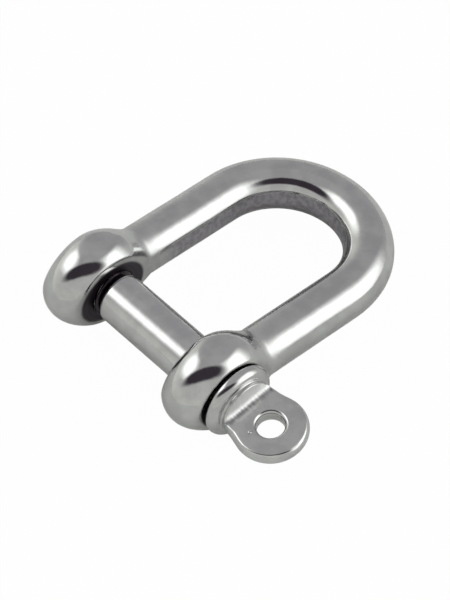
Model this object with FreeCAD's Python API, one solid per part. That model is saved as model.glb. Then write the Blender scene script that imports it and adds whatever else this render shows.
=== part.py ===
"""A stainless D shackle for 8 mm rigging: a forged body with two ball ears, and the screw pin that closes it.

Frame, in millimetres: the origin is on the pin's axis, midway between the ears. +X runs along the pin
towards its eye, +Y from the pin to the crown of the bow, and +Z is square to the plane of the D.
"""
import FreeCAD, Part
import math
import os

# Forged body
barDiameter = 8.0
legSpacing = 26.7            # centre line to centre line, and the diameter of the crown's centre line
straightLength = 26.4        # pin axis to the centre of the crown's half ring

# Ears: a flattened ball on each leg's end, with a flat for the pin on both sides
ballHalfWidth = 6.26         # along X, before the flats are cut
ballHalfLength = 9.1         # along Y
ballHalfHeight = 7.6         # along Z
innerFlatOffset = 3.95       # from the leg's centre line to the flat that faces the other ear
outerFlatOffset = 3.85
spotFaceRadius = 8.4
spotFaceCorner = 1.5
earRimRadius = 0.7
creaseRadius = 1.2

# Pin: thread, shank, collar and eye, all turned and milled from one bar
shankRadius = 4.0
plainHoleRadius = 4.1        # the pin turns and slides in this ear
shoulderGap = 1.2            # bare thread between the shank's shoulder and the threaded ear
shoulderChamfer = 0.35
tipStandsProud = 0.5
tipChamfer = 0.7
tipEdge = 0.1                # the small bevel on the thread's core at the tip
collarGap = 0.4              # between the collar and the ear when the pin is screwed home
collarRadius = 6.2
collarThickness = 1.95
collarRim = 0.9
neckLength = 0.45            # the plain neck between the collar and the eye's flare

# Thread, M8 x 1.25, right-handed
pitch = 1.25
threadMajorRadius = 3.95
threadMinorRadius = 3.23
threadCrest = pitch / 8
flankSlope = math.tan(math.radians(30))
threadClearance = 0.07       # between the pin's flanks and the ear's, along X
nutMinorRadius = 3.33
nutMajorRadius = 4.05
ribFoot = 0.15               # how deep a rib's foot is buried in the core that it is joined to
threadRunOut = 0.4           # how far the rib runs into the shank's shoulder
holeChamfer = 0.4
mouthClearance = 0.1         # between the thread's major radius and the mouth's edge

# Eye of the pin
eyeCentre = 8.2              # beyond the ear's outer flat
eyeRadius = 5.7
neckRadius = 4.5
eyeThickness = 2.5
scoopRadius = 0.9
scoopStart = 3.1             # where the milled flats begin, beyond the ear's outer flat
eyeHoleRadius = 2.2
eyeHoleChamfer = 0.3
eyeTurn = 10.0               # degrees about the pin's axis when screwed home

# The pin's centre, a separate rod that carries the pin's travel while the pin turns round it
coreRadius = 0.95
coreBoreRadius = 1.0
coreLength = 30.0
coreEndGap = 0.3

cutterDepth = 5.0            # the cutters for the ears' flats
overrun = 1.0                # how far a hole's cutter runs past the surface
tolerance = 1e-4

xAxis = FreeCAD.Vector(1, 0, 0)
yAxis = FreeCAD.Vector(0, 1, 0)
zAxis = FreeCAD.Vector(0, 0, 1)
origin = FreeCAD.Vector(0, 0, 0)
barRadius = barDiameter / 2
legX = legSpacing / 2
innerFlat = legX - innerFlatOffset
outerFlat = legX + outerFlatOffset
tipX = -outerFlat - tipStandsProud
shoulderX = -innerFlat + shoulderGap
collarX = outerFlat + collarGap


def cylinderAlongX(radius, start, end):
    return Part.makeCylinder(radius, end - start, FreeCAD.Vector(start, 0, 0), xAxis)


def coneAlongX(startRadius, endRadius, start, end):
    return Part.makeCone(startRadius, endRadius, end - start, FreeCAD.Vector(start, 0, 0), xAxis)


def turned(edges):
    """The solid turned from a closed outline in the X-Y half plane, about the pin's axis."""
    return Part.Face(Part.Wire(edges)).revolve(origin, xAxis, 360)


def line(start, end):
    return Part.makeLine(FreeCAD.Vector(*start, 0), FreeCAD.Vector(*end, 0))


def arc(start, middle, end):
    points = [FreeCAD.Vector(*point, 0) for point in (start, middle, end)]
    return Part.Arc(*points).toShape()


def bowBar():
    """The round bar: two legs and the half ring of the crown."""
    ring = Part.makeTorus(legX, barRadius, FreeCAD.Vector(0, straightLength, 0), zAxis, -180, 180, 180)
    left = Part.makeCylinder(barRadius, straightLength, FreeCAD.Vector(-legX, 0, 0), yAxis)
    right = Part.makeCylinder(barRadius, straightLength, FreeCAD.Vector(legX, 0, 0), yAxis)
    return ring.fuse([left, right]).removeSplitter()


def ballEar(side):
    """The two halves of an ear's ball, with their poles on the pin's axis, where the flats cut them off."""
    stretch = FreeCAD.Matrix()
    stretch.scale(ballHalfWidth, ballHalfLength, ballHalfHeight)
    halves = []
    for turn in (0, 180):
        half = Part.makeSphere(1.0, origin, xAxis, -90, 90, 180)
        half.rotate(origin, xAxis, turn)
        half = half.transformGeometry(stretch)
        half.translate(FreeCAD.Vector(side * legX, 0, 0))
        halves.append(half)
    return halves


def spotFace(start, end, cornerX):
    """The cutter that leaves an ear's flat at cornerX. Its rounded corner runs out on the leg."""
    cutter = cylinderAlongX(spotFaceRadius, min(start, end), max(start, end))
    corner = [edge for edge in cutter.Edges if abs(edge.BoundBox.XMax - cornerX) < tolerance]
    corner = [edge for edge in corner if edge.BoundBox.XLength < tolerance]
    return cutter.makeFillet(spotFaceCorner, corner)


def helicalRib(crestRadius, rootRadius, growth, start, end):
    """A V-shaped rib wound right-handed about the X axis. growth widens it on each flank."""
    turns = math.ceil((end - start) / pitch)
    halfCrest = threadCrest / 2 + growth
    halfRoot = halfCrest + (crestRadius - rootRadius) * flankSlope
    corners = [
        FreeCAD.Vector(rootRadius, 0, -halfRoot),
        FreeCAD.Vector(crestRadius, 0, -halfCrest),
        FreeCAD.Vector(crestRadius, 0, halfCrest),
        FreeCAD.Vector(rootRadius, 0, halfRoot),
    ]
    outline = Part.makePolygon(corners + corners[:1])
    spine = Part.makeHelix(pitch, turns * pitch, rootRadius)
    rib = Part.Wire(spine.Edges).makePipeShell([outline], True, True)
    rib.rotate(origin, yAxis, 90)
    rib.translate(FreeCAD.Vector(start, 0, 0))
    return rib


def threadedHole():
    """The hole through the far ear: minor diameter, helical groove and a chamfer at each mouth."""
    start = -outerFlat - overrun
    end = -innerFlat + overrun
    groove = helicalRib(nutMajorRadius, nutMinorRadius - ribFoot, threadClearance, ribStart, end + pitch)
    groove = groove.common(cylinderAlongX(nutMajorRadius + overrun, start, end))
    hole = cylinderAlongX(nutMinorRadius, start, end)
    mouth = nutMajorRadius + mouthClearance
    outer = coneAlongX(mouth, nutMinorRadius, -outerFlat, -outerFlat + holeChamfer * 2)
    inner = coneAlongX(nutMinorRadius, mouth, -innerFlat - holeChamfer * 2, -innerFlat)
    return hole, groove, outer, inner


def plainHole():
    hole = cylinderAlongX(plainHoleRadius, innerFlat - overrun, outerFlat + overrun)
    mouth = plainHoleRadius + holeChamfer
    inner = coneAlongX(mouth, plainHoleRadius, innerFlat, innerFlat + holeChamfer)
    outer = coneAlongX(plainHoleRadius, mouth, outerFlat - holeChamfer, outerFlat)
    return hole, inner, outer


def flatRims(body):
    """The edges round the ears' four flats, apart from the short ones where a flat runs out on its leg."""
    rims = []
    for edge in body.Edges:
        box = edge.BoundBox
        onFlat = min(abs(abs(box.XMin) - innerFlat), abs(abs(box.XMin) - outerFlat)) < tolerance
        if box.XLength < tolerance and onFlat and box.YMin < ballHalfLength / 2:
            rims.append(edge)
    return rims


def shackleBody():
    body = bowBar().fuse(ballEar(-1) + ballEar(1))
    creases = [edge for edge in body.Edges if 0 < edge.BoundBox.YMin and edge.BoundBox.YMax < ballHalfLength]
    body = body.makeFillet(creaseRadius, creases)
    for side in (-1, 1):
        outer = spotFace(side * outerFlat, side * (outerFlat + cutterDepth), side * outerFlat)
        inner = spotFace(side * innerFlat, side * (innerFlat - cutterDepth), side * innerFlat)
        body = body.cut([outer, inner])
    body = body.makeFillet(earRimRadius, flatRims(body))
    for cutter in (*plainHole(), *threadedHole()):
        body = body.cut(cutter)
    return body


def pinBlank():
    """The turned blank: chamfered tip, thread root, shank, collar, groove and the round head of the eye."""
    eyeX = outerFlat + eyeCentre
    neckX = outerFlat + collarGap + collarThickness + neckLength
    reach = math.hypot(eyeX - neckX, neckRadius)
    touch = math.atan2(neckRadius, neckX - eyeX) - math.acos(eyeRadius / reach)
    touchPoint = (eyeX + eyeRadius * math.cos(touch), eyeRadius * math.sin(touch))
    crown = (eyeX + eyeRadius * math.cos(touch / 2), eyeRadius * math.sin(touch / 2))
    backRim = collarX + collarThickness
    outline = [
        (tipX, 0),
        (tipX, threadMinorRadius - tipEdge),
        (tipX + tipEdge, threadMinorRadius),
        (shoulderX, threadMinorRadius),
        (shoulderX, shankRadius - shoulderChamfer),
        (shoulderX + shoulderChamfer, shankRadius),
        (collarX, shankRadius),
        (collarX, collarRadius - collarRim),
    ]
    edges = [line(a, b) for a, b in zip(outline, outline[1:])]
    bend = collarRim * (1 - math.sqrt(0.5))
    edges.append(arc(outline[-1], (collarX + bend, collarRadius - bend), (collarX + collarRim, collarRadius)))
    edges.append(line((collarX + collarRim, collarRadius), (backRim - collarRim, collarRadius)))
    edges.append(arc((backRim - collarRim, collarRadius), (backRim - bend, collarRadius - bend),
                     (backRim, collarRadius - collarRim)))
    edges.append(line((backRim, collarRadius - collarRim), (backRim, neckRadius)))
    edges.append(line((backRim, neckRadius), (neckX, neckRadius)))
    edges.append(line((neckX, neckRadius), touchPoint))
    edges.append(arc(touchPoint, crown, (eyeX + eyeRadius, 0)))
    edges.append(line((eyeX + eyeRadius, 0), (tipX, 0)))
    return turned(edges)


def scoop(side):
    """The milling cutter's sweep that leaves one flat of the eye and the wall that stands on the neck."""
    width = 4 * eyeRadius
    start = outerFlat + scoopStart
    block = Part.makeBox(width, width, width)
    block.translate(FreeCAD.Vector(start, -width / 2, eyeThickness / 2))
    corner = [edge for edge in block.Edges if edge.BoundBox.XMax < start + tolerance]
    corner = [edge for edge in corner if edge.BoundBox.ZMax < eyeThickness / 2 + tolerance]
    block = block.makeFillet(scoopRadius, corner)
    if side < 0:
        block = block.mirror(origin, zAxis)
    return block


def eyeHole():
    eyeX = outerFlat + eyeCentre
    half = eyeThickness / 2
    mouth = eyeHoleRadius + eyeHoleChamfer
    hole = Part.makeCylinder(eyeHoleRadius, 2 * half, FreeCAD.Vector(eyeX, 0, -half), zAxis)
    bevelStart = FreeCAD.Vector(eyeX, 0, half - eyeHoleChamfer)
    top = Part.makeCone(eyeHoleRadius, mouth, eyeHoleChamfer, bevelStart, zAxis)
    low = Part.makeCone(mouth, eyeHoleRadius, eyeHoleChamfer, FreeCAD.Vector(eyeX, 0, -half), zAxis)
    return [hole, top, low]


def screwPin():
    pin = pinBlank().cut([scoop(1), scoop(-1)] + eyeHole())
    pin.rotate(origin, xAxis, eyeTurn)
    end = shoulderX + pitch
    rib = helicalRib(threadMajorRadius, threadMinorRadius - ribFoot, 0, ribStart, end)
    tipRadius = threadMinorRadius - tipEdge
    zoneStart = tipX + 2 * tipChamfer
    zoneRadius = tipRadius + 2 * tipChamfer
    tip = coneAlongX(tipRadius, zoneRadius, tipX, zoneStart)
    threadZone = tip.fuse(cylinderAlongX(zoneRadius, zoneStart, shoulderX + threadRunOut))
    pin = pin.fuse(rib.common(threadZone))
    bore = cylinderAlongX(coreBoreRadius, tipX - overrun, tipX + coreLength + coreEndGap)
    return pin.cut(bore)


def pinCore():
    return cylinderAlongX(coreRadius, tipX, tipX + coreLength)


ribStart = tipX - 2 * pitch
os.makedirs("parts", exist_ok=True)
nodes = {
    "shackle_body": shackleBody(),
    "screw_pin": screwPin(),
    "pin_core": pinCore(),
}
for name, shape in nodes.items():
    box = shape.BoundBox
    print(name, "valid", shape.isValid(), "solids", len(shape.Solids), "volume", round(shape.Volume, 2))
    print("  from", round(box.XMin, 2), round(box.YMin, 2), round(box.ZMin, 2), end=" ")
    print("to", round(box.XMax, 2), round(box.YMax, 2), round(box.ZMax, 2))
    shape.exportStep("parts/" + name + ".step")
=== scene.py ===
import bpy
import bmesh
import math
from mathutils import Matrix, Vector, noise


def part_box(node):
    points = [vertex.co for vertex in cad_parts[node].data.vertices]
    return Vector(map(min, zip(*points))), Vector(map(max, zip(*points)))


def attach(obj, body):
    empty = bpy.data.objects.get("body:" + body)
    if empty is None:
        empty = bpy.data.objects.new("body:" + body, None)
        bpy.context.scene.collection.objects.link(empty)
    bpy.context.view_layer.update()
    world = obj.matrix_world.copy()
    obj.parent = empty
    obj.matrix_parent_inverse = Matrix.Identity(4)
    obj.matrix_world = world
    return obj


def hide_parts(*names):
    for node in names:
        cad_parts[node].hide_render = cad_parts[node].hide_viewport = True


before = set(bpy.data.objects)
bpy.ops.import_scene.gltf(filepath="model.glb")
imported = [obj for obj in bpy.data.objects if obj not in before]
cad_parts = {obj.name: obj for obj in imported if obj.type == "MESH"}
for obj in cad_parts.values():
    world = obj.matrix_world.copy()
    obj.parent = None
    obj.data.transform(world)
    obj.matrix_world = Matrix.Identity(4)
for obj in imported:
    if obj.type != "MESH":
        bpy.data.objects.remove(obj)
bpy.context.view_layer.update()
mm = 0.001
xAxis = Vector((1, 0, 0))
zAxis = Vector((0, 0, 1))
origin = Vector((0, 0, 0))
segmentsPerQuarter = 36
leastCorner = 0.5
weldDistance = 0.0005
sharpAngle = 32               # degrees between faces, from which an edge stays sharp
toolRoom = 1                  # how far a cutter reaches past what it cuts
halvings = 24
print("frame loaded")


def smoothMax(a, b, width):
    near = max(width - abs(a - b), 0) / width
    return max(a, b) + near * near * width / 4


def smoothMin(a, b, width):
    return -smoothMax(-a, -b, width)


def smoothStep(low, high, value):
    share = min(max((value - low) / (high - low), 0), 1)
    return share * share * (3 - 2 * share)


def spread(start, end, count):
    return [start + (end - start) * i / count for i in range(count + 1)]


def quarterAngles(corner, width):
    # angles over a quarter turn, crowded round the corner so that a mesh line follows each rounded edge
    low = max(corner - width, corner / 3)
    high = min(corner + width, math.pi / 2 - (math.pi / 2 - corner) / 3)
    third = segmentsPerQuarter // 3
    return (spread(0, low, third) + spread(low, high, third)[1:]
            + spread(high, math.pi / 2, third)[1:])


def ringAngles(frontCorner, backCorner, width):
    front = quarterAngles(frontCorner, width)
    back = quarterAngles(backCorner, width)
    return (front[:-1] + [math.pi - a for a in reversed(back)][:-1]
            + [math.pi + a for a in back][:-1]
            + [2 * math.pi - a for a in reversed(front)][:-1])


def sweptSkin(rings, firstPole, lastPole):
    # a circle extruded from ring to ring, and drawn to a point at both ends
    bm = bmesh.new()
    made = bmesh.ops.create_circle(bm, segments=len(rings[0]), radius=1)
    ring = made["verts"]
    edges = list(bm.edges)
    for vert, point in zip(ring, rings[0]):
        vert.co = point
    firstEdges = edges
    for points in rings[1:]:
        grown = bmesh.ops.extrude_edge_only(bm, edges=edges)["geom"]
        edges = [part for part in grown if isinstance(part, bmesh.types.BMEdge)]
        fresh = {part for part in grown if isinstance(part, bmesh.types.BMVert)}
        ring = [next(edge.other_vert(vert) for edge in vert.link_edges if edge.other_vert(vert) in fresh)
                for vert in ring]
        for vert, point in zip(ring, points):
            vert.co = point
    for loop, pole in ((firstEdges, firstPole), (edges, lastPole)):
        grown = bmesh.ops.extrude_edge_only(bm, edges=loop)["geom"]
        fresh = [part for part in grown if isinstance(part, bmesh.types.BMVert)]
        bmesh.ops.pointmerge(bm, verts=fresh, merge_co=pole)
    bmesh.ops.recalc_face_normals(bm, faces=bm.faces)
    return bm


def roundedOutline(points, steps=6):
    # points are (along, out, corner radius); each corner with a radius becomes an arc
    outline = [Vector(points[0][:2])]
    for before, here, after in zip(points, points[1:], points[2:]):
        corner = Vector(here[:2])
        if here[2] == 0:
            outline.append(corner)
            continue
        first = (Vector(before[:2]) - corner).normalized()
        second = (Vector(after[:2]) - corner).normalized()
        half = first.angle(second) / 2
        centre = corner + (first + second).normalized() * here[2] / math.sin(half)
        start = corner + first * here[2] / math.tan(half) - centre
        end = corner + second * here[2] / math.tan(half) - centre
        turn = start.angle_signed(end)
        for share in spread(0, 1, steps):
            outline.append(centre + Matrix.Rotation(-turn * share, 2) @ start)
    outline.append(Vector(points[-1][:2]))
    return outline


def turnedTool(outline, axis, centre, steps=96):
    # a closed solid spun from an outline of (along, out) points that starts and ends on the axis
    bm = bmesh.new()
    side = Vector((0, 1, 0)) if axis.x else Vector((1, 0, 0))
    verts = [bm.verts.new(centre + axis * point.x + side * point.y) for point in outline]
    edges = [bm.edges.new(pair) for pair in zip(verts, verts[1:])]
    bmesh.ops.spin(bm, geom=verts + edges, cent=centre, axis=axis, angle=2 * math.pi, steps=steps,
                   use_merge=True)
    bmesh.ops.remove_doubles(bm, verts=bm.verts, dist=weldDistance)
    bmesh.ops.recalc_face_normals(bm, faces=bm.faces)
    return bm


def holeTool(start, end, radius, mouth, axis, centre):
    # a round hole with a quarter-round mouth at each end
    wide = radius + mouth + toolRoom
    slant = 0.04
    outline = [(start - toolRoom, 0, 0), (start - toolRoom, wide, 0), (start - slant, wide, 0),
               (start, radius, mouth), (end, radius, mouth),
               (end + slant, wide, 0), (end + toolRoom, wide, 0), (end + toolRoom, 0, 0)]
    return turnedTool(roundedOutline(outline, 8), axis, centre)


def looseObject(name, bm):
    mesh = bpy.data.meshes.new(name)
    bm.to_mesh(mesh)
    bm.free()
    piece = bpy.data.objects.new(name, mesh)
    bpy.context.scene.collection.objects.link(piece)
    return piece


def combine(piece, toolMesh, operation):
    tool = looseObject("tool", toolMesh)
    modifier = piece.modifiers.new("combine", "BOOLEAN")
    modifier.object = tool
    modifier.operation = operation
    modifier.solver = "EXACT"
    bpy.context.view_layer.update()
    shaped = bpy.data.meshes.new_from_object(piece.evaluated_get(bpy.context.evaluated_depsgraph_get()))
    piece.modifiers.clear()
    piece.data = shaped
    bpy.data.objects.remove(tool)


def finishPiece(piece, material, body, stands):
    mesh = piece.data
    mesh.name = piece.name
    mesh.transform(Matrix.Scale(mm, 4))
    mesh.materials.clear()
    mesh.materials.append(material)
    mesh.polygons.foreach_set("use_smooth", [True] * len(mesh.polygons))
    mesh.set_sharp_from_angle(angle=math.radians(sharpAngle))
    weighted = piece.modifiers.new("even shading", "WEIGHTED_NORMAL")
    weighted.keep_sharp = True
    weighted.weight = 80
    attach(piece, body)
    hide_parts(*stands)
    print(piece.name, len(mesh.polygons), "faces")


blotchSpan = (0.35, 0.65)     # the part of a noise's range that a blotchy pattern uses


class Graph:
    # short ways to add nodes to a tree; a value is a number, a tuple or another node's output
    def __init__(self, tree):
        self.tree = tree

    def feed(self, socket, value):
        if isinstance(value, bpy.types.NodeSocket):
            self.tree.links.new(value, socket)
        else:
            socket.default_value = value

    def node(self, kind, **values):
        node = self.tree.nodes.new("ShaderNode" + kind)
        for name, value in values.items():
            if hasattr(node, name):
                setattr(node, name, value)
            else:
                self.feed(node.inputs[name.replace("_", " ")], value)
        return node

    def math(self, operation, *values):
        node = self.node("Math", operation=operation)
        for socket, value in zip(node.inputs, values):
            self.feed(socket, value)
        return node.outputs[0]

    def length(self, a, b):
        squares = self.math("ADD", self.math("MULTIPLY", a, a), self.math("MULTIPLY", b, b))
        return self.math("SQRT", squares)

    def dot(self, vector, direction):
        node = self.node("VectorMath", operation="DOT_PRODUCT")
        self.feed(node.inputs[0], vector)
        self.feed(node.inputs[1], direction)
        return node.outputs["Value"]

    def ramp(self, value, low, high):
        node = self.node("MapRange", interpolation_type="SMOOTHSTEP", Value=value, From_Min=low,
                         From_Max=high)
        return node.outputs["Result"]

    def between(self, share, low, high):
        return self.node("MapRange", Value=share, To_Min=low, To_Max=high).outputs["Result"]

    def mix(self, mask, below, above):
        return self.node("Mix", data_type="RGBA", Factor=mask, A=below, B=above).outputs["Result"]

    def shift(self, mask, below, above):
        return self.math("ADD", below, self.math("MULTIPLY", mask, self.math("SUBTRACT", above, below)))

    def noise(self, vector, scale, detail):
        return self.node("TexNoise", Vector=vector, Scale=scale, Detail=detail).outputs["Fac"]

    def join(self, x, y, z):
        return self.node("CombineXYZ", X=x, Y=y, Z=z).outputs[0]


def steelMaterial(name, look, addMarks):
    material = bpy.data.materials.new(name)
    material.use_nodes = True
    graph = Graph(material.node_tree)
    shader = material.node_tree.nodes["Principled BSDF"]
    shader.inputs["Metallic"].default_value = 1.0
    place = graph.node("VectorMath", operation="SCALE", Scale=1 / mm)
    graph.feed(place.inputs[0], graph.node("TexCoord").outputs["Object"])
    place = place.outputs[0]
    cloud = graph.ramp(graph.noise(place, look["cloudScale"], 4.0), *blotchSpan)
    tone = graph.mix(cloud, (*look["darkTone"], 1), (*look["lightTone"], 1))
    grain = graph.noise(place, look["grainScale"], 6.0)
    roughness = graph.between(grain, look["smoothest"], look["roughest"])
    tone, roughness, height = addMarks(graph, place, look, tone, roughness, grain)
    relief = graph.node("Bump", Strength=look["relief"], Distance=look["reliefDepth"], Height=height)
    graph.feed(shader.inputs["Base Color"], tone)
    graph.feed(shader.inputs["Roughness"], roughness)
    graph.feed(shader.inputs["Normal"], relief.outputs["Normal"])
    return material


# the body: its bar, its two ears and their holes, in millimetres
shackle = {
    "barRadius": 4.0, "legX": 13.35, "straight": 26.4,
    "ballWidth": 6.46, "ballLength": 9.1, "ballHeight": 7.91, "ballTop": 7.58, "topRound": 0.5,
    "widthPower": 1.96, "lengthPower": 1.84, "heightPower": 1.70,
    "outerFlat": 3.85, "innerFlat": 3.95, "flatEnd": 6.6, "flatFade": 8.4, "flatRise": 0.8,
    "creaseWidth": 1.8, "outerRim": 0.4, "innerRim": 0.9, "rimSpread": 0.1,
    "wobble": 0.03, "wobbleSize": 0.16, "wobbleFull": 11.0,
    "landDepth": 0.05, "landHalfAngle": 0.42, "landEdge": 0.10, "landFrom": 10.0, "landRise": 4.0,
    "plainHole": 4.1, "holeMouth": 0.4, "threadMouth": 0.75,
    "firstRing": 3, "ballRings": 44, "shoulderRings": 50, "legRings": 22, "crownRings": 76,
}
thread = {
    "pitch": 1.25, "crest": 0.16, "slope": math.tan(math.radians(30)), "stepsPerTurn": 64,
    "pinRoot": 3.23, "pinCrest": 3.95, "earRoot": 3.33, "earGroove": 4.05, "clearance": 0.07,
    "overlap": 0.3, "overrun": 0.7,
}
outerFlatX = shackle["legX"] + shackle["outerFlat"]
innerFlatX = shackle["legX"] - shackle["innerFlat"]
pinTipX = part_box("pin_core")[0].x / mm
threadStartX = pinTipX - 2 * thread["pitch"]


def earHeight(out, share):
    # the ball's half height where it is out from the leg's centre line
    left = share - (out / shackle["ballWidth"]) ** shackle["widthPower"]
    return shackle["ballHeight"] * max(left, 0) ** (1 / shackle["heightPower"])


def earRadius(angle, share):
    # found by halving, because the ball's three powers differ
    out = abs(math.cos(angle)) / shackle["ballWidth"]
    up = abs(math.sin(angle)) / shackle["ballHeight"]
    low = 0
    high = shackle["ballHeight"] + toolRoom
    for _ in range(halvings):
        middle = (low + high) / 2
        if (middle * out) ** shackle["widthPower"] + (middle * up) ** shackle["heightPower"] < share:
            low = middle
        else:
            high = middle
    return low


def flatCorner(offset, along):
    # the angle, from the pin's axis, at which an ear's flat meets its ball
    share = 1 - abs(along / shackle["ballLength"]) ** shackle["lengthPower"]
    if share <= 0:
        return leastCorner
    return max(math.atan2(earHeight(offset, share), offset), leastCorner)


def sectionRadius(angle, along):
    out = math.cos(angle)
    up = abs(math.sin(angle))
    share = 1 - abs(along / shackle["ballLength"]) ** shackle["lengthPower"]
    radius = shackle["barRadius"]
    if share > 0:
        ball = earRadius(angle, share)
        if up * ball > shackle["ballTop"] - shackle["topRound"]:
            ball = smoothMin(ball, shackle["ballTop"] / up, shackle["topRound"])
        radius = smoothMax(ball, radius, shackle["creaseWidth"]) if along > 0 else ball
    side = "inner" if out < 0 else "outer"
    offset = shackle[side + "Flat"]
    rim = shackle[side + "Rim"]
    offset += shackle["flatRise"] * smoothStep(shackle["flatEnd"], shackle["flatFade"], along)
    if abs(out) * radius > offset - rim:
        radius = smoothMin(radius, offset / abs(out), rim)
    inward = abs(angle - math.pi)
    landEnd = shackle["landHalfAngle"] + shackle["landEdge"]
    unpolished = 1 - smoothStep(shackle["landHalfAngle"], landEnd, inward)
    unpolished *= smoothStep(shackle["landFrom"], shackle["landFrom"] + shackle["landRise"], along)
    return radius - shackle["landDepth"] * unpolished


def bodyRing(centre, outward, along):
    angles = ringAngles(flatCorner(shackle["outerFlat"], along), flatCorner(shackle["innerFlat"], along),
                        shackle["rimSpread"])
    points = []
    for angle in angles:
        radius = sectionRadius(angle, along)
        spot = centre + outward * radius * math.cos(angle) + Vector((0, 0, radius * math.sin(angle)))
        uneven = noise.noise(spot * shackle["wobbleSize"]) * shackle["wobble"]
        uneven *= smoothStep(shackle["flatFade"], shackle["wobbleFull"], along)
        points.append(spot + (spot - centre).normalized() * uneven)
    return points


def shackleRings():
    ballLength = shackle["ballLength"]
    straight = shackle["straight"]
    turns = spread(shackle["firstRing"], 90, shackle["ballRings"])
    alongs = [-ballLength * math.cos(math.radians(a)) for a in turns]
    alongs += spread(0, shackle["landFrom"], shackle["shoulderRings"])[1:]
    alongs += spread(shackle["landFrom"], straight, shackle["legRings"])[1:]
    left = [bodyRing(Vector((-shackle["legX"], along, 0)), Vector((-1, 0, 0)), along) for along in alongs]
    right = [bodyRing(Vector((shackle["legX"], along, 0)), Vector((1, 0, 0)), along) for along in alongs]
    crown = []
    for turn in spread(0, math.pi, shackle["crownRings"])[1:-1]:
        outward = Vector((-math.cos(turn), math.sin(turn), 0))
        centre = Vector((0, straight, 0)) + outward * shackle["legX"]
        crown.append(bodyRing(centre, outward, straight))
    return left + crown + right[::-1]


def threadedRod(root, crest, growth, endX):
    # one pitch of the thread's outline, spun with a rise of one pitch a turn; its ends are left open
    halfCrest = thread["crest"] / 2 + growth
    halfRoot = halfCrest + (crest - root) * thread["slope"]
    pitch = thread["pitch"]
    middle = pitch / 2
    outline = [(0, root), (middle - halfRoot, root), (middle - halfCrest, crest),
               (middle + halfCrest, crest), (middle + halfRoot, root), (pitch, root)]
    turns = math.ceil((endX - threadStartX) / pitch) + 2    # one spare turn past each end
    bm = bmesh.new()
    verts = [bm.verts.new((threadStartX - pitch + x, out, 0)) for x, out in outline]
    edges = [bm.edges.new(pair) for pair in zip(verts, verts[1:])]
    steps = thread["stepsPerTurn"]
    bmesh.ops.spin(bm, geom=verts + edges, cent=origin, axis=xAxis, angle=2 * math.pi * turns,
                   steps=steps * turns, dvec=(pitch / steps, 0, 0))
    bmesh.ops.remove_doubles(bm, verts=bm.verts, dist=weldDistance)
    return bm


def squareEnds(bm, startX, endX):
    for x, normal in ((startX, (-1, 0, 0)), (endX, (1, 0, 0))):
        everything = list(bm.verts) + list(bm.edges) + list(bm.faces)
        cutLine = bmesh.ops.bisect_plane(bm, geom=everything, plane_co=(x, 0, 0), plane_no=normal,
                                         clear_outer=True)["geom_cut"]
        edges = [part for part in cutLine if isinstance(part, bmesh.types.BMEdge)]
        bmesh.ops.edgeloop_fill(bm, edges=edges)
    bmesh.ops.recalc_face_normals(bm, faces=bm.faces)
    return bm


def buildShackle():
    tip = -shackle["ballLength"]
    skin = sweptSkin(shackleRings(), Vector((-shackle["legX"], tip, 0)), Vector((shackle["legX"], tip, 0)))
    piece = looseObject("shackleBody", skin)
    plain = holeTool(innerFlatX, outerFlatX, shackle["plainHole"], shackle["holeMouth"], xAxis, origin)
    combine(piece, plain, "DIFFERENCE")
    tapped = holeTool(-outerFlatX, -innerFlatX, thread["earRoot"], shackle["threadMouth"], xAxis, origin)
    combine(piece, tapped, "DIFFERENCE")
    rod = threadedRod(thread["earRoot"] - thread["overlap"], thread["earGroove"], thread["clearance"],
                      -innerFlatX + thread["overrun"])
    rod = squareEnds(rod, -outerFlatX - thread["overrun"], -innerFlatX + thread["overrun"])
    combine(piece, rod, "DIFFERENCE")
    return piece


forgedLook = {
    "cloudScale": 0.3, "darkTone": (0.55, 0.55, 0.55), "lightTone": (0.64, 0.64, 0.635),
    "grainScale": 1.5, "smoothest": 0.04, "roughest": 0.11, "relief": 0.25, "reliefDepth": 0.00002,
    "rippleScale": 0.55, "rippleShare": 1.6,
    "landTones": ((0.37, 0.35, 0.38), (0.52, 0.50, 0.53)), "landRoughness": 0.34, "landEdge": 0.08,
    "ragged": 0.5, "raggedScale": 0.9, "blotchScale": 1.26,
    "cornerStart": 6.0, "cornerFrom": 8.0, "cornerTo": 13.5, "cornerRoughness": 0.34,
    # the flat tones are painted shade, near-black round the pin on the ears' machined flats
    "flatShadeTones": ((0.035, 0.028, 0.038), (0.10, 0.085, 0.10)), "flatRoughness": 0.38,
    "flatReach": (6.2, 5.3), "flatSoft": 0.05, "flatDepth": 0.3, "ringScale": 2.2,
}


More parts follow.
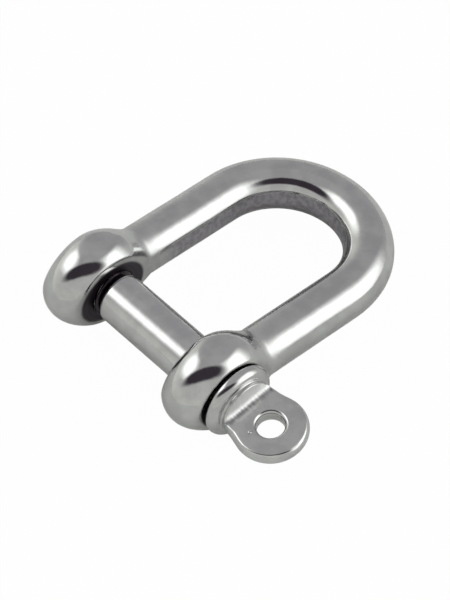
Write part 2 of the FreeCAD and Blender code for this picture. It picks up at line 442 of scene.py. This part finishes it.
def forgedMarks(graph, place, look, tone, roughness, grain):
    axes = graph.node("SeparateXYZ", Vector=place).outputs
    # the strip inside the bow that polishing doesn't reach, with a ragged edge
    bend = graph.math("MAXIMUM", graph.math("SUBTRACT", axes["Y"], shackle["straight"]), 0.0)
    inward = graph.math("SUBTRACT", shackle["legX"], graph.length(axes["X"], bend))
    edge = graph.math("MULTIPLY", inward, math.tan(shackle["landHalfAngle"]))
    edge = graph.math("SUBTRACT", edge, graph.math("ABSOLUTE", axes["Z"]))
    ragged = graph.math("SUBTRACT", graph.noise(place, look["raggedScale"], 4.0), 0.5)
    edge = graph.math("ADD", edge, graph.math("MULTIPLY", ragged, look["ragged"]))
    land = graph.math("MULTIPLY", graph.ramp(edge, -look["landEdge"], look["landEdge"]),
                      graph.ramp(axes["Y"], shackle["landFrom"], shackle["landFrom"] + shackle["landRise"]))
    darkest, lightest = look["landTones"]
    blotches = graph.ramp(graph.noise(place, look["blotchScale"], 6.0), *blotchSpan)
    tone = graph.mix(land, tone, graph.mix(blotches, (*darkest, 1), (*lightest, 1)))
    roughness = graph.shift(land, roughness, look["landRoughness"])
    # the corners behind the ears are hard to polish
    corner = graph.math("MULTIPLY", graph.ramp(axes["Y"], look["cornerTo"], look["cornerFrom"]),
                        graph.ramp(axes["Y"], look["cornerStart"], look["cornerFrom"]))
    roughness = graph.shift(corner, roughness, look["cornerRoughness"])
    # painted shade: the machined flats are painted near-black round the pin, where the gap between ear and
    # pin lies in shade, with faint rings
    across = graph.math("ABSOLUTE", axes["X"])
    offInner = graph.math("ABSOLUTE", graph.math("SUBTRACT", across, innerFlatX))
    offOuter = graph.math("ABSOLUTE", graph.math("SUBTRACT", across, outerFlatX))
    nearFlat = graph.ramp(graph.math("MINIMUM", offInner, offOuter), look["flatDepth"], 0.0)
    reachY, reachZ = look["flatReach"]
    fromPin = graph.length(graph.math("DIVIDE", axes["Y"], reachY), graph.math("DIVIDE", axes["Z"], reachZ))
    flatShade = graph.ramp(fromPin, 1 + look["flatSoft"], 1 - look["flatSoft"])
    flatShade = graph.math("MULTIPLY", flatShade, nearFlat)
    rings = graph.noise(graph.join(graph.length(axes["Y"], axes["Z"]), 0.0, 0.0), look["ringScale"], 3.0)
    darkest, lightest = look["flatShadeTones"]
    tone = graph.mix(flatShade, tone, graph.mix(rings, (*darkest, 1), (*lightest, 1)))
    ripple = graph.math("MULTIPLY", graph.noise(place, look["rippleScale"], 2.0), look["rippleShare"])
    return tone, graph.shift(flatShade, roughness, look["flatRoughness"]), graph.math("ADD", grain, ripple)


forgedSteel = steelMaterial("forgedSteel", forgedLook, forgedMarks)
finishPiece(buildShackle(), forgedSteel, "bow", ["shackle_body"])
print("shackle body made")


# the pin: thread, shank, collar, neck and eye, in millimetres and degrees
pin = {
    "shank": 4.0, "shoulderGap": 1.2, "shoulderRound": 0.45, "tipChamfer": 0.7,
    "threadDepth": 0.6, "threadStop": 0.5, "crestRoom": 0.02, "rootBevel": 0.2, "axisGap": 0.02,
    "collarGap": 0.4, "collar": 6.06, "collarThickness": 1.95, "frontRim": 0.5, "backRim": 1.35,
    "neck": 4.5, "neckLength": 0.45, "neckHollow": 0.2,
    "eyeCentre": 8.2, "eye": 5.7, "eyeThickness": 2.5, "eyeEdge": 0.8, "eyeEdgeSpread": 0.07,
    "squash": 0.512, "squashRun": 2.4,
    "scoopStart": 3.1, "scoopRadius": 0.9, "archRound": 0.25, "archFade": 1.0, "widestFlat": 0.97,
    "eyeHole": 2.1, "eyeMouth": 0.7, "eyeTurn": 10.0,
    "dent": (-1.1, -3.05), "dentRadius": 0.4, "dentDepth": 0.22,
    "ringStep": 0.35, "cornerRings": 8, "coneRings": 12, "eyeRings": 80, "lastRing": 0.03,
}
shoulderX = -innerFlatX + pin["shoulderGap"]
collarX = outerFlatX + pin["collarGap"]
backX = collarX + pin["collarThickness"]
neckX = backX + pin["neckLength"]
eyeX = outerFlatX + pin["eyeCentre"]
scoopX = outerFlatX + pin["scoopStart"]
hollowX = scoopX + pin["scoopRadius"]
halfEye = pin["eyeThickness"] / 2
wallGap = 0.002


def pinOutline():
    # the turned part, from the shoulder to the neck's end
    points = [(shoulderX, pin["axisGap"], 0), (shoulderX, pin["shank"], pin["shoulderRound"]),
              (collarX, pin["shank"], 0),
              (collarX, pin["collar"], pin["frontRim"]), (backX, pin["collar"], pin["backRim"]),
              (backX, pin["neck"], pin["neckHollow"]), (neckX, pin["neck"], 0)]
    return filled(roundedOutline(points, 10), pin["ringStep"])


def headOutline():
    # a cone from the neck runs tangent into the round of the eye; its rings crowd together at the wall
    reach = math.hypot(eyeX - neckX, pin["neck"])
    touch = math.atan2(pin["neck"], neckX - eyeX) - math.acos(pin["eye"] / reach)
    touchX = eyeX + pin["eye"] * math.cos(touch)
    growth = (pin["eye"] * math.sin(touch) - pin["neck"]) / (touchX - neckX)
    archX = scoopX - pin["archRound"]
    quarter = spread(0, math.pi / 2, pin["cornerRings"])
    stations = [archX + pin["archRound"] * math.sin(a) - wallGap for a in quarter]
    stations += [hollowX - pin["scoopRadius"] * math.cos(a) + wallGap for a in quarter]
    stations += spread(hollowX + pin["ringStep"], touchX, pin["coneRings"])
    outline = [Vector((x, pin["neck"] + growth * (x - neckX))) for x in stations]
    return outline + [Vector((eyeX + pin["eye"] * math.cos(a), pin["eye"] * math.sin(a)))
                      for a in spread(touch, pin["lastRing"], pin["eyeRings"])[1:]]


def flatHeight(x):
    # half the eye's thickness at x, with the cutter's corner running up to a wall on the neck
    if x < scoopX:
        return None
    depth = min(max(hollowX - x, 0), pin["scoopRadius"])
    return halfEye + pin["scoopRadius"] - math.sqrt(pin["scoopRadius"] ** 2 - depth ** 2)


def archDepth(x):
    # how far x is into the rounded edge where the neck meets the milled wall
    depth = x - (scoopX - pin["archRound"])
    return depth if 0 < depth <= pin["archRound"] else 0


def filled(outline, step):
    # the same outline with points added along its long runs, and none twice
    dense = [outline[0]]
    for here, after in zip(outline, outline[1:]):
        length = (after - here).length
        if length > weldDistance:
            count = math.ceil(length / step)
            dense += [here.lerp(after, i / count) for i in range(1, count + 1)]
    return dense


def pinRing(x, radius):
    # the head is squashed across its flats, and the neck is round
    squash = 1 - (1 - pin["squash"]) * smoothStep(scoopX, scoopX + pin["squashRun"], x)
    height = flatHeight(x)
    corner = leastCorner / 2
    if height is not None:
        share = min(height / (radius * squash), pin["widestFlat"])
        corner = math.atan2(share * squash, math.sqrt(1 - share ** 2))
    points = []
    worn = pin["archRound"] - math.sqrt(pin["archRound"] ** 2 - archDepth(x) ** 2)
    for angle in ringAngles(corner, corner, pin["eyeEdgeSpread"]):
        reach = radius / math.hypot(math.cos(angle), math.sin(angle) / squash)
        reach -= worn * smoothStep(halfEye, halfEye + pin["archFade"], reach * abs(math.sin(angle)))
        rise = abs(math.sin(angle))
        if height is not None and rise * reach > height - pin["eyeEdge"]:
            reach = smoothMin(reach, height / rise, pin["eyeEdge"])
        points.append(Vector((x, reach * math.cos(angle), reach * math.sin(angle))))
    return points


def dentTool():
    bm = bmesh.new()
    bmesh.ops.create_uvsphere(bm, u_segments=32, v_segments=16, radius=pin["dentRadius"])
    right, across = pin["dent"]
    height = halfEye + pin["dentRadius"] - pin["dentDepth"]
    bmesh.ops.translate(bm, verts=bm.verts, vec=(eyeX + right, across, height))
    return bm


def pinThread():
    rod = threadedRod(thread["pinRoot"], thread["pinCrest"], 0, shoulderX + toolRoom)
    rod = squareEnds(rod, pinTipX - thread["overlap"], shoulderX + pin["threadDepth"])
    piece = looseObject("thread", rod)
    crest = thread["pinCrest"] + pin["crestRoom"]
    stopX = shoulderX + pin["threadStop"]
    limit = [(pinTipX, 0, 0), (pinTipX, thread["pinRoot"] - pin["rootBevel"], 0),
             (pinTipX + pin["tipChamfer"], crest, 0), (stopX, crest, 0), (stopX, 0, 0)]
    combine(piece, turnedTool(roundedOutline(limit), xAxis, origin), "INTERSECT")
    bm = bmesh.new()
    bm.from_mesh(piece.data)
    bpy.data.objects.remove(piece)
    return bm


def buildPin():
    skin = sweptSkin([pinRing(*point) for point in pinOutline() + headOutline()], Vector((shoulderX, 0, 0)),
                     Vector((eyeX + pin["eye"], 0, 0)))
    piece = looseObject("screwPin", skin)
    hole = holeTool(-halfEye, halfEye, pin["eyeHole"], pin["eyeMouth"], zAxis, Vector((eyeX, 0, 0)))
    combine(piece, hole, "DIFFERENCE")
    combine(piece, dentTool(), "DIFFERENCE")
    piece.data.transform(Matrix.Rotation(math.radians(pin["eyeTurn"]), 4, "X"))
    combine(piece, pinThread(), "UNION")
    return piece


turnedLook = {
    "cloudScale": 0.4, "darkTone": (0.57, 0.57, 0.57), "lightTone": (0.65, 0.65, 0.645),
    "grainScale": 2.5, "smoothest": 0.07, "roughest": 0.15, "relief": 0.25, "reliefDepth": 0.00002,
    "latheScale": 5.0, "latheShare": 0.8, "latheRoughness": 0.04,
    "milledEdge": (0.08, 0.02), "wallEdge": (0.02, 0.01), "wallFoot": 0.4,
    "milledRoughness": (0.18, 0.42), "streakScale": 2.4, "streakShare": 2.5, "streakStretch": 0.2,
    "streakSpan": (0.3, 0.7),
    # the wall tone is a painted highlight on the milled wall, and the foot tone is painted shade where the
    # wall meets the flat
    "wallSheenTone": (0.92, 0.92, 0.91), "footShadeTone": (0.22, 0.22, 0.235), "footPlace": 0.75, "footWidth": 0.75,
    "footCore": 0.1, "footShare": (0.7, 0.2),
    # the run-out tone is painted shade in the gap at the pin's shoulder
    "runOutShadeTone": (0.07, 0.06, 0.07), "runOut": 1.5, "runOutFade": 0.3, "runOutEnd": (0.01, 0.03),
}


def turnedMarks(graph, place, look, tone, roughness, grain):
    turn = math.radians(pin["eyeTurn"])
    along = graph.dot(place, (1, 0, 0))
    across = graph.dot(place, (0, math.cos(turn), math.sin(turn)))
    height = graph.math("ABSOLUTE", graph.dot(place, (0, -math.sin(turn), math.cos(turn))))
    # fine rings left by the lathe
    rings = graph.noise(graph.join(along, graph.length(across, height), 0.0), look["latheScale"], 3.0)
    relief = graph.math("ADD", grain, graph.math("MULTIPLY", rings, look["latheShare"]))
    roughness = graph.math("ADD", roughness, graph.math("MULTIPLY", rings, look["latheRoughness"]))
    # the milled faces of the eye, with streaks down the wall, a painted highlight on the wall and painted
    # shade at its foot
    under, over = look["milledEdge"]
    before, behind = look["wallEdge"]
    milled = graph.math("MULTIPLY", graph.ramp(height, halfEye - under, halfEye - over),
                        graph.ramp(along, scoopX - before, scoopX - behind))
    wall = graph.math("MULTIPLY", milled, graph.ramp(along, hollowX, scoopX + look["wallFoot"]))
    stretched = graph.join(graph.math("MULTIPLY", along, look["streakStretch"]), across,
                           graph.math("MULTIPLY", height, look["streakStretch"]))
    streaks = graph.ramp(graph.noise(stretched, look["streakScale"], 3.0), *look["streakSpan"])
    relief = graph.shift(wall, relief, graph.math("MULTIPLY", streaks, look["streakShare"]))
    flatRoughness, wallRoughness = look["milledRoughness"]
    roughness = graph.shift(milled, roughness, flatRoughness)
    roughness = graph.shift(wall, roughness, wallRoughness)
    # painted highlight: the wall's colour is lifted to near white so it reads brighter than the rest of the
    # steel
    tone = graph.mix(wall, tone, (*look["wallSheenTone"], 1))
    # painted shade: a darker streaky band in the concave foot where the wall meets the flat
    footX = scoopX + look["footPlace"]
    fromFoot = graph.math("ABSOLUTE", graph.math("SUBTRACT", along, footX))
    footShade = graph.math("MULTIPLY", graph.ramp(fromFoot, look["footWidth"], look["footCore"]), milled)
    streaky, plain = look["footShare"]
    footShade = graph.math("MULTIPLY", footShade, graph.math("ADD", graph.math("MULTIPLY", streaks, streaky), plain))
    tone = graph.mix(footShade, tone, (*look["footShadeTone"], 1))
    # painted shade: the thread is painted near-black where it runs out at the shoulder, in the shadowed gap
    # between the shank and the ear
    gapShadeX = shoulderX - look["runOut"]
    near, far = look["runOutEnd"]
    gapShade = graph.math("MULTIPLY", graph.ramp(along, gapShadeX, gapShadeX + look["runOutFade"]),
                     graph.ramp(along, shoulderX - near, shoulderX - far))
    return graph.mix(gapShade, tone, (*look["runOutShadeTone"], 1)), roughness, relief


turnedSteel = steelMaterial("turnedSteel", turnedLook, turnedMarks)
finishPiece(buildPin(), turnedSteel, "pin", ["screw_pin", "pin_core"])
print("screw pin made")


# the studio: camera, pale floor and a soft tent of light, in millimetres and degrees
studio = {
    "azimuth": 43.3, "elevation": 48.05, "roll": 5.2, "distance": 450.0, "lens": 178.0,
    "lookAt": (0.0, 13.2, 0.0), "right": -0.90, "up": 2.11,
    "floorTilt": 4.6, "floorSize": 3.0, "floorWhite": 0.98, "floorTone": (0.86, 0.87, 0.85),
    "lowTone": (0.69, 0.70, 0.66), "highTone": (0.55, 0.545, 0.545), "lowest": -0.2, "highest": 0.9,
    "cornerPower": 2.6,
}
# azimuth, elevation, half width, half height, softness, lean, colour
skyPatches = {
    "backWall": (-150, 20, 38, 60, 14, 0, (0.43, 0.425, 0.435)),
    "frontCard": (-80, -5, 28, 24, 16, 0, (0.84, 0.85, 0.80)),
    "sideCard": (150, -30, 40, 32, 22, 0, (0.61, 0.615, 0.62)),
    "ceiling": (28, 84, 26, 26, 8, 0, (0.46, 0.455, 0.46)),
    "leftSoftbox": (-59.5, 37.6, 23, 13.2, 9.5, 29, (2.2, 2.25, 2.2)),
    "rightSoftbox": (131.5, 28.0, 24, 22, 14, -18, (2.2, 2.25, 2.2)),
    "darkGap": (28.5, 55.1, 46, 14.1, 3, 12.2, (0.05, 0.042, 0.052)),
}


def skyDirection(azimuth, elevation):
    # azimuth 0 looks back from the front of the shackle, and turns towards its eye
    azimuth = math.radians(azimuth)
    elevation = math.radians(elevation)
    return Vector((math.sin(azimuth) * math.cos(elevation), -math.cos(azimuth) * math.cos(elevation),
                   math.sin(elevation)))


def setCamera():
    azimuth = math.radians(studio["azimuth"])
    back = skyDirection(studio["azimuth"], studio["elevation"])
    right = Vector((math.cos(azimuth), math.sin(azimuth), 0))
    up = back.cross(right)
    turn = Matrix.Rotation(math.radians(studio["roll"]), 3, back)
    right = turn @ right
    up = turn @ up
    place = Vector(studio["lookAt"]) + back * studio["distance"]
    place -= right * studio["right"] + up * studio["up"]
    data = bpy.data.cameras.new("camera")
    data.lens = studio["lens"]
    data.clip_start = 0.01
    data.clip_end = 20
    camera = bpy.data.objects.new("camera", data)
    bpy.context.scene.collection.objects.link(camera)
    camera.matrix_world = Matrix.Translation(place * mm) @ Matrix((right, up, back)).transposed().to_4x4()
    bpy.context.scene.camera = camera


def makeFloor():
    # the floor follows the tilt of a shackle that lies on its ears and its crown
    tilt = math.radians(studio["floorTilt"])
    lowest = math.hypot(shackle["ballTop"] * math.cos(tilt), shackle["ballLength"] * math.sin(tilt))
    bm = bmesh.new()
    bmesh.ops.create_circle(bm, cap_ends=True, segments=96, radius=studio["floorSize"])
    bmesh.ops.rotate(bm, verts=bm.verts, cent=(0, 0, 0), matrix=Matrix.Rotation(tilt, 3, "X"))
    bmesh.ops.translate(bm, verts=bm.verts, vec=(0, 0, -lowest * mm / math.cos(tilt)))
    floor = looseObject("floor", bm)
    material = bpy.data.materials.new("paleFloor")
    material.use_nodes = True
    graph = Graph(material.node_tree)
    card = material.node_tree.nodes["Principled BSDF"]
    card.inputs["Base Color"].default_value = (*studio["floorTone"], 1)
    card.inputs["Roughness"].default_value = 0.9
    card.inputs["Specular IOR Level"].default_value = 0.1
    glow = graph.node("Emission", Strength=1.0)
    seen = graph.node("LightPath").outputs["Is Camera Ray"]
    blend = graph.node("MixShader")
    graph.feed(blend.inputs[0], graph.math("MULTIPLY", seen, studio["floorWhite"]))
    graph.feed(blend.inputs[1], card.outputs[0])
    graph.feed(blend.inputs[2], glow.outputs[0])
    graph.feed(material.node_tree.nodes["Material Output"].inputs["Surface"], blend.outputs[0])
    floor.data.materials.append(material)


def ovalPatch(graph, look, centre, halfWidth, halfHeight, soft, lean):
    # a soft-edged oval of the sky round a direction
    side = zAxis.cross(centre).normalized()
    turn = Matrix.Rotation(math.radians(lean), 3, centre)
    total = 0.0
    for axis, half in ((turn @ side, halfWidth), (turn @ centre.cross(side), halfHeight)):
        away = graph.math("DIVIDE", graph.dot(look, axis), math.sin(math.radians(half)))
        away = graph.math("POWER", graph.math("ABSOLUTE", away), studio["cornerPower"])
        total = graph.math("ADD", total, away)
    away = graph.math("POWER", total, 1 / studio["cornerPower"])
    edge = soft / min(halfWidth, halfHeight)
    ahead = graph.math("GREATER_THAN", graph.dot(look, centre), 0.0)
    return graph.math("MULTIPLY", graph.ramp(away, 1 + edge, 1 - edge), ahead)


def makeSky():
    world = bpy.data.worlds.new("softTent")
    bpy.context.scene.world = world
    world.use_nodes = True
    graph = Graph(world.node_tree)
    look = graph.node("TexCoord").outputs["Generated"]
    height = graph.node("MapRange", Value=graph.dot(look, zAxis), From_Min=studio["lowest"],
                        From_Max=studio["highest"]).outputs["Result"]
    colour = graph.mix(height, (*studio["lowTone"], 1), (*studio["highTone"], 1))
    for azimuth, elevation, halfWidth, halfHeight, soft, lean, tone in skyPatches.values():
        centre = skyDirection(azimuth, elevation)
        patch = ovalPatch(graph, look, centre, halfWidth, halfHeight, soft, lean)
        colour = graph.mix(patch, colour, (*tone, 1))
    seen = graph.node("LightPath").outputs["Is Camera Ray"]
    background = world.node_tree.nodes["Background"]
    graph.feed(background.inputs["Color"], graph.mix(seen, colour, (1, 1, 1, 1)))


setCamera()
makeFloor()
makeSky()
bpy.context.scene.view_settings.view_transform = "Standard"
print("studio made")
